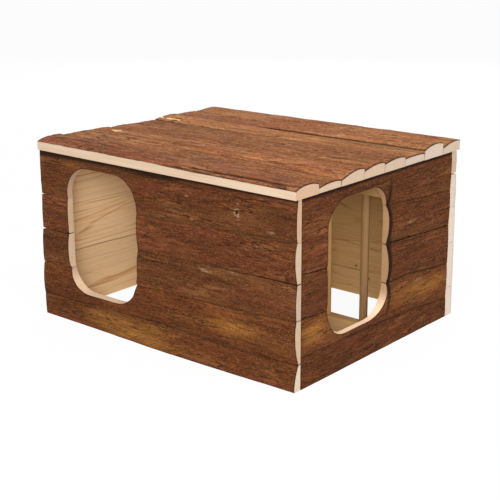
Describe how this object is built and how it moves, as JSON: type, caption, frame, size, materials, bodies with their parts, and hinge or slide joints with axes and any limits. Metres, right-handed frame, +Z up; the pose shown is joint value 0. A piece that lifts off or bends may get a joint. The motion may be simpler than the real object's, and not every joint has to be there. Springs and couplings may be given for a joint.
{
  "type": "rodent house",
  "caption": "Flat-roofed rodent house of bark slabs with round-cornered doorways in two walls, an inside rack of round bars, and a lift-off slatted roof on battens.",
  "frame": {"origin": "on the ground under the middle of the roof, at the bottom centre of the whole house's box", "axes": "+X to the right along the front wall, +Y from the front wall to the back wall, +Z up"},
  "size_m": [0.3988, 0.3265, 0.2274],
  "materials": {
    "wall_bark": "rough reddish brown bark outside, bare sawn wood inside and on the cut ends",
    "roof_bark": "rough fibrous bark outside, paler than the walls, bare sawn wood below and on the cut ends",
    "batten_wood": "planed bare softwood",
    "rack_wood": "planed bare softwood rails and turned round bars"
  },
  "bodies": {
    "house": {"front_slab_1": "wall_bark", "front_slab_2": "wall_bark", "front_slab_3_left": "wall_bark", "front_slab_3_right": "wall_bark", "front_slab_4_left": "wall_bark", "front_slab_4_right": "wall_bark", "front_slab_5": "wall_bark", "right_slab_1": "wall_bark", "right_slab_2": "wall_bark", "right_slab_3_front": "wall_bark", "right_slab_3_rear": "wall_bark", "right_slab_4_front": "wall_bark", "right_slab_4_rear": "wall_bark", "right_slab_5": "wall_bark", "back_slab_1": "wall_bark", "back_slab_2": "wall_bark", "back_slab_3": "wall_bark", "back_slab_4": "wall_bark", "back_slab_5": "wall_bark", "left_slab_1": "wall_bark", "left_slab_2": "wall_bark", "left_slab_3": "wall_bark", "left_slab_4": "wall_bark", "corner_batten_front_left": "batten_wood", "corner_batten_front_right": "batten_wood", "corner_batten_back_left": "batten_wood", "corner_batten_back_right": "batten_wood", "door_batten_front": "batten_wood", "middle_batten_back": "batten_wood", "rack_batten_left": "batten_wood", "rack_batten_right": "batten_wood", "rack_rail_bottom": "rack_wood", "rack_rail_top": "rack_wood", "rack_bar_1": "rack_wood", "rack_bar_2": "rack_wood", "rack_bar_3": "rack_wood", "rack_bar_4": "rack_wood", "rack_bar_5": "rack_wood", "rack_bar_6": "rack_wood", "rack_bar_7": "rack_wood"},
    "roof": {"roof_slat_1": "roof_bark", "roof_slat_2": "roof_bark", "roof_slat_3": "roof_bark", "roof_slat_4": "roof_bark", "roof_slat_5": "roof_bark", "roof_slat_6": "roof_bark", "roof_slat_7": "roof_bark", "roof_slat_8": "roof_bark", "roof_batten_left": "batten_wood", "roof_batten_middle": "batten_wood", "roof_batten_right": "batten_wood"}
  },
  "joints": [
    {"name": "roof_lift", "type": "slide", "parent": "house", "child": "roof", "axis": [0, 0, 1], "range_m": [0, 0.06]}
  ]
}
